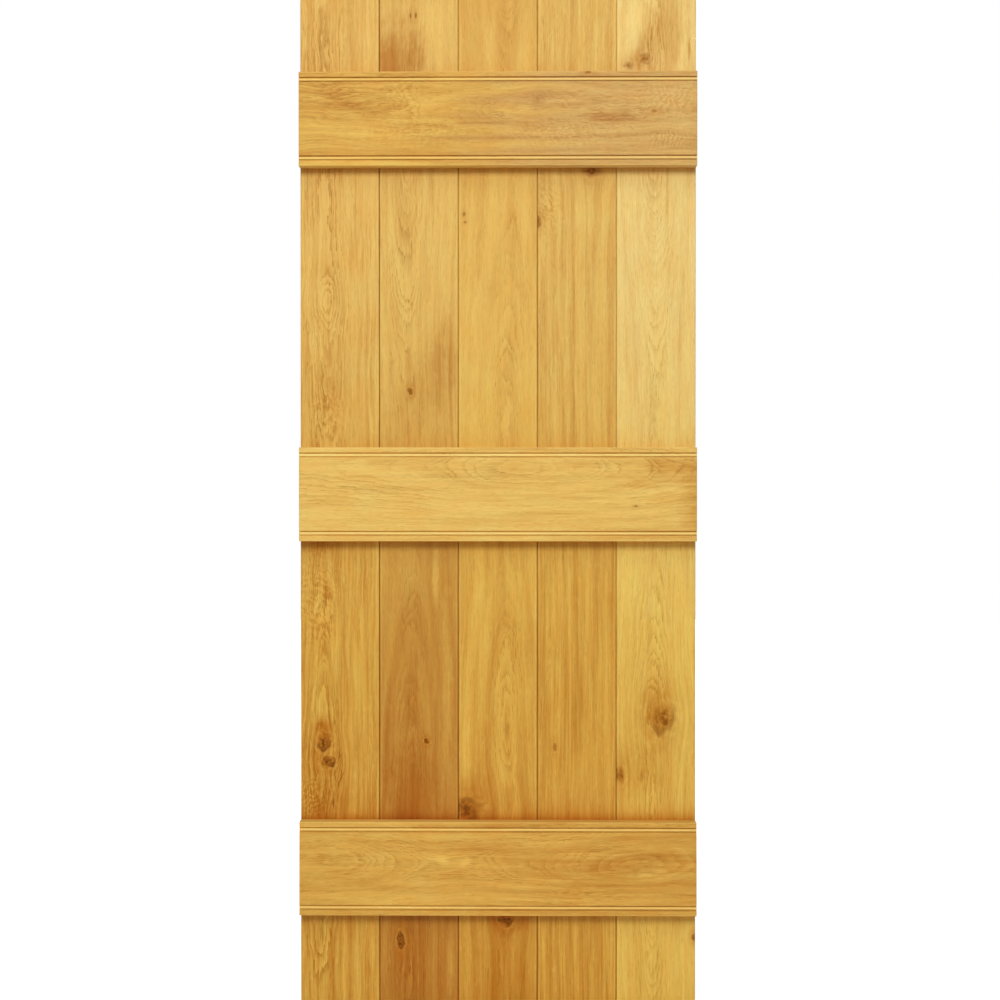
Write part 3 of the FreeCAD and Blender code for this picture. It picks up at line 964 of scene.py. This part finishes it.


# Looks of each board. Places are metres from the hinge edge and from the foot.
# pale and deep: the tones of the wood, with the far tones, paler and greyer under a painted sheen,
# towards the head
# deepening: how far the colour goes from pale to deep, and deepLean: how that leans across the board
# pithAcross and pithDepth: the middle of the rings, its depth behind the ledged side
# wander, curl and wave: how far the rings and the grain stray
# figure: the share of the figure that shows
# deepening, pithDepth and figure are (height, value) points of a curve up the board
# knots: across, along, radius, stretch along the grain, darkness, strength of the dark ring
# clouds: across, along, half width, half height, lean, depth of colour
# ripples: across, along, half width, half height, pitch, lean, strength
# checks: across, along, lean, length, width
boardLooks = {
    "hinge_board": {
        "seed": 11.3,
        "pale": tone(233, 186, 84),
        "deep": tone(184, 114, 26),
        "sheenPale": tone(234, 190, 101),
        "sheenDeep": tone(188, 118, 34),
        "deepening": [(0, 0.42), (0.2, 0.4), (0.45, 0.47), (0.65, 0.36), (0.9, 0.32), (1.1, 0.23),
                      (1.2, 0.19), (1.29, 0.12), (1.4, 0.12), (1.75, 0.18), (leafTall, 0.26)],
        "pithAcross": 0.047,
        "pithDepth": [(0, 0.045), (0.35, 0.03), (0.5, 0.024), (0.9, 0.045), (1.15, 0.036), (1.29, 0.03),
                      (1.356, 0.021), (1.42, 0.03), (1.6, 0.034), (leafTall, 0.03)],
        "ringWidth": 0.0032,
        "wander": 0.018,
        "curl": 0.009,
        "wave": 0.008,
        "streakContrast": 1.0,
        "lineContrast": 0.5,
        "dashContrast": 0.25,
        "hueDrift": 0.25,
        "knots": [(0.045, 0.512, 0.0135, 1.2, 1.0, 1.0), (0.053, 0.473, 0.013, 0.85, 1.1, 1.0)],
        "clouds": [(0.047, 0.535, 0.018, 0.026, 0, 0.4), (0.03, 0.905, 0.06, 0.03, 0, 0.25),
                   (0.05, 0.4, 0.06, 0.05, 0, 0.18), (0.068, 0.485, 0.008, 0.02, -0.2, 0.25),
                   (0.06, 0.492, 0.006, 0.012, 0.3, -0.3), (0.057, 1.21, 0.035, 0.07, 0, 0.16),
                   (0.042, 1.395, 0.012, 0.05, 0, -0.15), (0.067, 1.327, 0.012, 0.05, 0, -0.15),
                   (0.041, 0.777, 0.013, 0.04, 0, -0.3), (0.066, 0.632, 0.02, 0.07, 0, 0.12),
                   (0.1375, 0.118, 0.01, 0.05, 0, -0.2), (0.034, 0.49, 0.02, 0.05, 0, 0.12)],
        "ripples": [(0.03, 0.79, 0.04, 0.08, 0.015, 0.5, 0.3),
                    (0.02, 0.4, 0.03, 0.04, 0.011, -0.6, 0.35),
                    (0.05, 1.15, 0.03, 0.05, 0.016, 0.7, 0.25)],
        "checks": [(0.076, 0.44, 0.01, 0.042, 0.0016), (0.0635, 0.394, 0.002, 0.022, 0.002),
                   (0.066, 0.448, -0.006, 0.03, 0.001), (0.074, 0.485, 0.006, 0.03, 0.0013)],
    },
    "second_board": {
        "seed": 23.9,
        "pale": tone(233, 188, 88),
        "deep": tone(174, 103, 28),
        "sheenPale": tone(233, 191, 102),
        "sheenDeep": tone(182, 112, 30),
        "deepening": [(0, 0.76), (0.25, 0.7), (0.6, 0.64), (0.9, 0.43), (1.1, 0.29), (1.19, 0.25),
                      (1.28, 0.15), (1.4, 0.13), (1.75, 0.18), (leafTall, 0.34)],
        "deepLean": 1.3,
        "pithAcross": 0.208,
        "pithDepth": [(0, 0.025), (0.5, 0.034), (0.85, 0.058), (1.1, 0.062), (1.33, 0.055),
                      (1.62, 0.033), (leafTall, 0.02)],
        "ringWidth": 0.0032,
        "wander": 0.012,
        "curl": 0.005,
        "figure": [(0, 0.8), (0.4, 0.65), (0.6, 0.54), (0.9, 0.58), (1.08, 1.0), (1.4, 1.12),
                   (1.62, 1.1), (1.8, 0.7), (leafTall, 0.65)],
        "streakContrast": 0.55,
        "lineContrast": 0.2,
        "hueDrift": 0.15,
        "knots": [(0.212, 1.19, 0.0055, 1.2, 1.1, 0.6), (0.244, 0.513, 0.0052, 1.0, 1.6, 0.8),
                  (0.193, 0.128, 0.007, 2.3, 1.2, 0.9), (0.213, 1.912, 0.0025, 2.2, 0.9, 0.6),
                  (0.2226, 1.912, 0.0025, 2.2, 0.8, 0.6)],
        "clouds": [(0.262, 1.22, 0.06, 0.11, 0.3, 0.2), (0.178, 1.815, 0.075, 0.1, 0.1, 0.55),
                   (0.26, 0.83, 0.007, 0.07, 0, -0.3), (0.22, 0.42, 0.06, 0.1, 0, 0.2),
                   (0.255, 1.89, 0.03, 0.08, 0, -0.15), (0.283, 0.6, 0.012, 0.24, 0, -0.25),
                   (0.173, 0.515, 0.012, 0.12, 0, 0.12), (0.217, 0.6, 0.014, 0.12, 0, 0.15),
                   (0.288, 0.09, 0.01, 0.09, 0, -0.25)],
    },
    "centre_board": {
        "seed": 37.1,
        "pale": tone(233, 186, 84),
        "deep": tone(184, 114, 26),
        "sheenPale": tone(233, 188, 95),
        "sheenDeep": tone(186, 116, 32),
        "deepening": [(0, 0.66), (0.25, 0.55), (0.5, 0.37), (0.9, 0.26), (1.12, 0.08), (1.4, 0.16),
                      (1.6, 0.22), (1.75, 0.24), (leafTall, 0.42)],
        "pithAcross": 0.396,
        "pithDepth": [(0, 0.045), (0.4, 0.032), (0.57, 0.022), (0.9, 0.045), (1.08, 0.03), (1.3, 0.042),
                      (1.6, 0.06), (1.8, 0.058), (leafTall, 0.03)],
        "ringWidth": 0.0036,
        "wander": 0.03,
        "curl": 0.008,
        "figure": [(0, 1.0), (0.9, 0.9), (1.1, 0.7), (1.3, 0.8), (1.7, 0.8), (1.85, 0.5),
                   (leafTall, 0.5)],
        "streakContrast": 0.5,
        "lineContrast": 0.18,
        "bandContrast": 0.7,
        "knots": [(0.322, 0.38, 0.029, 0.85, 1.1, 0.5), (0.396, 0.167, 0.013, 0.9, 1.5, 0.6),
                  (0.316, 1.53, 0.0035, 1.4, 0.55, 0.5), (0.3175, 1.515, 0.003, 1.0, 0.5, 0.5)],
        "clouds": [(0.325, 0.41, 0.03, 0.05, 0, 0.15), (0.4, 0.17, 0.05, 0.03, 0, 0.2),
                   (0.3986, 1.153, 0.014, 0.07, 0, -0.2), (0.3986, 0.405, 0.02, 0.035, 0, 0.2)],
    },
    "fourth_board": {
        "seed": 53.7,
        "pale": tone(232, 184, 82),
        "deep": tone(182, 112, 24),
        "sheenPale": tone(232, 190, 101),
        "sheenDeep": tone(184, 116, 34),
        "deepening": [(0, 0.5), (0.25, 0.48), (0.5, 0.42), (0.9, 0.32), (1.12, 0.24), (1.4, 0.2),
                      (1.75, 0.18), (leafTall, 0.24)],
        "pithAcross": 0.432,
        "pithDepth": [(0, 0.05), (0.6, 0.06), (1.2, 0.05), (1.5, 0.03), (leafTall, 0.04)],
        "ringWidth": 0.0034,
        "wander": 0.014,
        "curl": 0.004,
        "streakContrast": 0.9,
        "knots": [(0.459, 1.516, 0.0065, 1.8, 1.1, 0.7), (0.562, 1.616, 0.018, 0.8, 0.6, 0.5),
                  (0.491, 0.502, 0.004, 2.0, 0.6, 0.4)],
        "clouds": [(0.47, 1.56, 0.02, 0.06, 0, 0.2)],
        "ripples": [(0.475, 1.54, 0.025, 0.06, 0.014, 0.8, 0.3)],
    },
    "lock_board": {
        "seed": 71.9,
        "pale": tone(239, 200, 97),
        "deep": tone(194, 124, 24),
        "sheenPale": tone(241, 207, 126),
        "sheenDeep": tone(196, 130, 40),
        "deepening": [(0, 0.26), (0.2, 0.26), (0.4, 0.38), (0.6, 0.27), (0.8, 0.12), (1.12, 0.1),
                      (1.4, 0.07), (1.75, 0.1), (leafTall, 0.2)],
        "pithAcross": 0.684,
        "pithDepth": [(0, 0.04), (0.5, 0.026), (0.8, 0.045), (1.1, 0.06), (1.35, 0.055), (1.62, 0.027),
                      (leafTall, 0.03)],
        "ringWidth": 0.0024,
        "wander": 0.01,
        "curl": 0.003,
        "figure": [(0, 0.75), (0.17, 0.78), (0.4, 0.95), (1.1, 0.88), (1.3, 0.82), (1.5, 0.92),
                   (1.75, 0.9), (1.86, 0.75), (leafTall, 0.75)],
        "knots": [(0.699, 0.561, 0.024, 1.25, 0.65, 0.8), (0.616, 0.451, 0.011, 1.9, 0.65, 0.4),
                  (0.659, 0.446, 0.008, 1.8, 0.25, 0.2), (0.664, 1.829, 0.0115, 0.9, 0.5, 0.8),
                  (0.632, 1.815, 0.0095, 0.8, 0.5, 0.5), (0.761, 0.135, 0.006, 1.3, 1.2, 0.8)],
        "clouds": [(0.682, 0.57, 0.03, 0.06, 0, 0.25), (0.662, 1.845, 0.025, 0.06, 0.4, 0.3),
                   (0.6876, 1.163, 0.012, 0.08, 0, -0.15), (0.65, 0.46, 0.04, 0.06, 0, 0.2),
                   (0.645, 1.825, 0.035, 0.02, 0, 0.2), (0.705, 1.88, 0.045, 0.1, 0, 0.35),
                   (0.65, 1.92, 0.022, 0.06, 0.35, -0.2), (0.749, 1.845, 0.003, 0.03, 0, 0.5)],
    },
}

# The same for the ledges, whose grain lies across the leaf: across is down from the ground as a
# minus, and along is from the hinge edge. The far tones, of a painted sheen, are those of the lock edge.
ledgeLooks = {
    "top_ledge": {
        "seed": 91.3,
        "pale": tone(233, 187, 90),
        "deep": tone(184, 118, 40),
        "sheenPale": tone(231, 190, 112),
        "sheenDeep": tone(180, 124, 62),
        "deepening": [(0, 0.28), (0.25, 0.34), (0.5, 0.4), (leafWide, 0.36)],
        "pithAcross": -1.73,
        "pithDepth": [(0, 0.05), (0.2, 0.04), (0.44, 0.018), (0.6, 0.028), (leafWide, 0.03)],
        "ringWidth": 0.0034,
        "wander": 0.03,
        "curl": 0.016,
        "wave": 0.014,
        "figure": [(0, 1.0), (0.2, 1.0), (0.33, 0.65), (0.58, 0.65), (leafWide, 0.9)],
        "lineContrast": 0.24,
        "bandContrast": 0.4,
        "knots": [(-1.745, 0.46, 0.012, 1.2, 0.25, 0.3), (-1.797, 0.553, 0.0045, 1.6, 0.8, 0.6),
                  (-1.722, 0.68, 0.004, 1.4, 0.5, 0.4)],
        "clouds": [(-1.765, 0.06, 0.015, 0.05, 0, 0.2), (-1.715, 0.6, 0.006, 0.06, 0, 0.3),
                   (-1.706, 0.61, 0.004, 0.05, 0, 0.3), (-1.735, 0.1, 0.012, 0.05, 0.4, 0.2),
                   (-1.7435, 0.51, 0.007, 0.06, 0, -0.25), (-1.7, 0.34, 0.004, 0.06, 0, 0.25),
                   (-1.672, 0.37, 0.004, 0.12, 0, 0.2), (-1.76, 0.09, 0.006, 0.06, 0, 0.15),
                   (-1.72, 0.42, 0.012, 0.07, 0, -0.15)],
        "ripples": [(-1.745, 0.71, 0.035, 0.06, 0.013, 0.4, 0.25),
                    (-1.75, 0.2, 0.03, 0.04, 0.014, -0.4, 0.25),
                    (-1.685, 0.22, 0.03, 0.11, 0.017, 0.4, 0.18),
                    (-1.68, 0.5, 0.03, 0.12, 0.015, -0.4, 0.18),
                    (-1.67, 0.71, 0.02, 0.05, 0.008, 0.2, 0.25)],
    },
    "middle_ledge": {
        "seed": 107.7,
        "pale": tone(240, 198, 106),
        "deep": tone(192, 124, 38),
        "deepening": [(0, 0.08), (0.25, 0.12), (0.5, 0.18), (leafWide, 0.2)],
        "pithAcross": -1.04,
        "pithDepth": [(0, 0.06), (0.2, 0.05), (0.4, 0.03), (0.55, 0.04), (leafWide, 0.06)],
        "ringWidth": 0.0032,
        "wander": 0.012,
        "curl": 0.006,
        "wave": 0.003,
        "lineContrast": 0.2,
        "dashContrast": 0.06,
        "fineContrast": 0.15,
        "knots": [(-0.968, 0.645, 0.002, 1.3, 0.8, 0.6)],
        "clouds": [(-1.05, 0.17, 0.008, 0.06, 0, 0.2), (-1.045, 0.7, 0.02, 0.06, 0, 0.2),
                   (-0.99, 0.765, 0.1, 0.04, 0, 0.3)],
    },
    "bottom_ledge": {
        "seed": 127.1,
        "pale": tone(234, 188, 91),
        "deep": tone(184, 117, 35),
        "deepening": [(0, 0.3), (0.12, 0.31), (0.22, 0.34), (0.32, 0.42), (0.5, 0.46), (0.65, 0.46),
                      (leafWide, 0.47)],
        "pithAcross": -0.285,
        "pithDepth": [(0, 0.02), (0.06, 0.018), (0.27, 0.045), (0.45, 0.04), (0.65, 0.018),
                      (leafWide, 0.03)],
        "ringWidth": 0.0036,
        "wander": 0.022,
        "curl": 0.009,
        "wave": 0.012,
        "figure": [(0, 1.0), (0.15, 0.95), (0.28, 0.62), (0.42, 0.95), (leafWide, 0.92)],
        "streakContrast": 0.6,
        "lineContrast": 0.2,
        "bandContrast": 0.38,
        "fineContrast": 0.18,
        "knots": [(-0.267, 0.645, 0.008, 1.6, 0.15, 0.3)],
        "clouds": [(-0.29, 0.28, 0.02, 0.05, 0, -0.15), (-0.25, 0.55, 0.05, 0.15, 0, 0.1),
                   (-0.289, 0.275, 0.012, 0.014, 0.5, -0.2), (-0.286, 0.32, 0.01, 0.014, -0.5, -0.2),
                   (-0.262, 0.655, 0.005, 0.03, 0, -0.3), (-0.27, 0.69, 0.006, 0.018, 0, -0.25),
                   (-0.3, 0.675, 0.01, 0.07, 0, 0.2)],
    },
}

# What a look has where it doesn't give its own. Contrasts are in the depth of the colour.
commonLook = {
    "deepLean": 0.0,
    "sway": 0.02,
    "wave": 0.004,
    "fade": 0.028,  # how far from the pith the lines thin out
    "figure": [],  # all of it
    "broadContrast": 0.6,
    "streakContrast": 0.8,
    "lineContrast": 0.3,
    "dashContrast": 0.12,
    "bandContrast": 0.5,
    "fleckContrast": 0.1,
    "fineContrast": 0.24,  # in its brightness
    "hueDrift": 0.22,
    "ripples": [],
    "checks": [],
    "joints": [],
}
commonLedge = {
    "fade": 0.07,
    "broadContrast": 0.5,
    "streakContrast": 0.7,
    "hueDrift": 0.25,
    "quirkShade": 0.1,
}

# How dark each joint between two boards is, from the foot up. A minus paints it paler, a painted
# highlight over the gap's shade.
jointDark = [
    [(0, 0.58), (1.0, 0.62), (leafTall, 0.6)],
    [(0, 0.3), (1.0, 0.3), (leafTall, 0.12)],
    [(0, 0.45), (1.0, 0.4), (leafTall, 0.18)],
    [(0, 0.7), (0.6, 0.15), (1.2, -0.2), (1.6, -0.25), (leafTall, -0.6)],
]


# The board's outline carried up the leaf. Each knot has shrunk a little below both faces, to a
# bell-shaped dish.
def makeBoard(number, name):
    look = {**commonLook, **boardLooks[name], "span": (0.0, leafTall)}
    ends = (number - 1, number * boardPitch, 1), (number, (number + 1) * boardPitch, -1)
    look["joints"] = [(x, way, jointDark[joint]) for joint, x, way in ends if 0 <= joint < len(jointDark)]
    size = boardSection
    outline = roundedOutline(*boardCorners(number), size["faceStep"])
    reach = [(z, size["knotReach"] * radius * stretch) for x, z, radius, stretch, *_ in look["knots"]]
    stations, drops = stationsAlong(0.0, leafTall, size["stationStep"], reach, size["endEasing"])
    rings = np.empty((len(stations), len(outline), 3))
    rings[..., 0] = outline[:, 0]
    rings[..., 1] = np.clip(outline[:, 1], boardBack + drops[:, None], boardFront - drops[:, None])
    rings[..., 2] = stations[:, None]
    out = outline[:, 1] - (boardBack + boardFront) / 2
    onFace = np.abs(out) > (boardFront - boardBack) / 2 - size["faceSlack"]
    for x, z, radius, stretch, *_ in look["knots"]:
        away = ((rings[..., 0] - x) / radius) ** 2 + ((rings[..., 2] - z) / radius / stretch) ** 2
        dish = size["knotDish"] * min(1.0, radius / size["dishRadius"]) * np.exp(-away)
        rings[..., 1] -= np.sign(out) * onFace * dish
    piece = sweptPiece("oak_" + name, rings, 2)
    piece.data.materials.append(oakMaterial("oak " + name, look, False))
    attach(piece, "root")
    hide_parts(name)


# Section of the ledges, in metres
ledgeSection = {
    "faceRound": 0.0015,
    "beadMargin": 0.010,
    "quirkWidth": 0.002,
    "beadWidth": 0.006,
    "beadSink": 0.0003,
    "beadFullness": 0.999,  # of a true half round
    "softening": 0.0003,
    "quirkSoftening": 0.0001,
    "faceStep": 0.012,
    "stationStep": 0.03,
}


def ledgeCorners(low, high):
    size = ledgeSection
    face, back = low.y, high.y
    crown = face + size["beadSink"]
    floor = crown + size["beadWidth"] / 2
    # distances in from a long edge: outer wall, bead's two sides, inner wall
    walls = np.cumsum([size["beadMargin"], size["quirkWidth"], size["beadWidth"], size["quirkWidth"]])
    soft = size["softening"]
    beadRound = size["beadWidth"] / 2 * size["beadFullness"]
    trench = [
        (face, walls[0], soft),
        (floor, walls[0], soft),
        (floor, walls[1], size["quirkSoftening"]),
        (crown, walls[1], beadRound),
        (crown, walls[2], beadRound),
        (floor, walls[2], size["quirkSoftening"]),
        (floor, walls[3], soft),
        (face, walls[3], soft),
    ]
    lower = [(y, low.z + away, radius) for y, away, radius in trench]
    upper = [(y, high.z - away, radius) for y, away, radius in trench]
    corners = np.array(
        [(back, low.z, soft), (back, high.z, soft), (face, high.z, size["faceRound"])]
        + upper
        + lower[::-1]
        + [(face, low.z, size["faceRound"])]
    )
    return corners[:, :2], corners[:, 2]


# The ledge's outline carried across the leaf, its face eased back at both ends
def makeLedge(name):
    look = {**commonLook, **commonLedge, **ledgeLooks[name], "span": (0.0, leafWide)}
    size = ledgeSection
    low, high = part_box(name)
    halfWidth = (high.z - low.z) / 2
    look["middle"] = (low.z + high.z) / 2
    look["halfWidth"] = halfWidth
    look["face"] = low.y
    look["beadCentre"] = halfWidth - size["beadMargin"] - size["quirkWidth"] - size["beadWidth"] / 2
    outline = roundedOutline(*ledgeCorners(low, high), size["faceStep"])
    stations, drops = stationsAlong(0.0, leafWide, size["stationStep"], [], size["faceRound"])
    rings = np.empty((len(stations), len(outline), 3))
    rings[..., 0] = stations[:, None]
    rings[..., 1] = np.maximum(outline[:, 0], low.y + drops[:, None])
    rings[..., 2] = outline[:, 1]
    piece = sweptPiece("oak_" + name, rings, 1)
    piece.data.materials.append(oakMaterial("oak " + name, look, True))
    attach(piece, "root")
    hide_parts(name)


# Pellets, flush oak plugs over the screws that hold each board to each ledge, on the plain side
pellets = {
    "radius": 0.006,
    "proud": 0.00012,
    "sunk": 0.002,
    "crown": [(0.8, 1.0), (0.9, 0.8), (1.0, -2.0)],  # in radii out and prouds up
    "glue": [0.0, 0.7, 1.0, 1.0],  # how much shows at each point of the profile
    "sideStep": 0.036,  # either side of the board's middle
    "riseStep": 0.042,  # one above the ledge's middle and the other below
    "turnSteps": 24,
    "seed": 211.7,
    "tones": (tone(226, 176, 78), tone(168, 102, 30)),
}


# A profile (distance from the axis, height over the boards) carried round each plug's axis
def makePellets(name):
    size = pellets
    low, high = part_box(name)
    profile = np.array(size["crown"]) * (size["radius"], size["proud"])
    profile = np.vstack([profile, (size["radius"], -size["sunk"])])
    turn = np.linspace(0, 2 * pi, size["turnSteps"], endpoint=False)
    middles = (np.arange(len(boardNames)) + 0.5) * boardPitch
    side = np.array([-1, 1]) * size["sideStep"]
    spotX = (middles[:, None] + side).ravel()
    spotZ = (low.z + high.z) / 2 + np.tile([1, -1], len(middles)) * size["riseStep"]
    shape = (len(spotX), len(profile), len(turn))
    points = np.empty((*shape, 3))
    points[..., 0] = spotX[:, None, None] + profile[:, :1] * np.cos(turn)
    points[..., 1] = boardFront + profile[:, 1:]
    points[..., 2] = spotZ[:, None, None] + profile[:, :1] * np.sin(turn)
    index = np.arange(points[..., 0].size).reshape(shape)
    beside = np.roll(index, -1, axis=2)
    quads = np.stack([index[:, :-1], index[:, 1:], beside[:, 1:], beside[:, :-1]], axis=-1).reshape(-1, 4)
    faces = quads.tolist() + index[:, 0, ::-1].tolist() + index[:, -1].tolist()
    mesh = bpy.data.meshes.new("pellets_" + name)
    mesh.from_pydata(points.reshape(-1, 3).tolist(), [], faces)
    rim = np.broadcast_to(np.array(size["glue"], np.float32)[None, :, None], shape)
    mesh.attributes.new("rim", "FLOAT", "POINT").data.foreach_set("value", rim.ravel())
    mesh.validate()
    look = {**commonLook, **boardLooks["centre_board"], "span": (0.0, leafTall)}
    look.update(seed=size["seed"] + low.z, pale=size["tones"][0], deep=size["tones"][1])
    look.update(knots=[], clouds=[])
    mesh.materials.append(oakMaterial("oak pellets " + name, look, False, "rim"))
    piece = bpy.data.objects.new("pellets_" + name, mesh)
    scene.collection.objects.link(piece)
    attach(piece, "root")


setCamera()
setLight()
setFloor()
for number, name in enumerate(boardNames):
    makeBoard(number, name)
print("boards made:", len(boardNames))
for name in ledgeNames:
    makeLedge(name)
print("ledges made:", len(ledgeNames))
for name in ledgeNames:
    makePellets(name)
print("pellets made for", len(ledgeNames), "ledges")
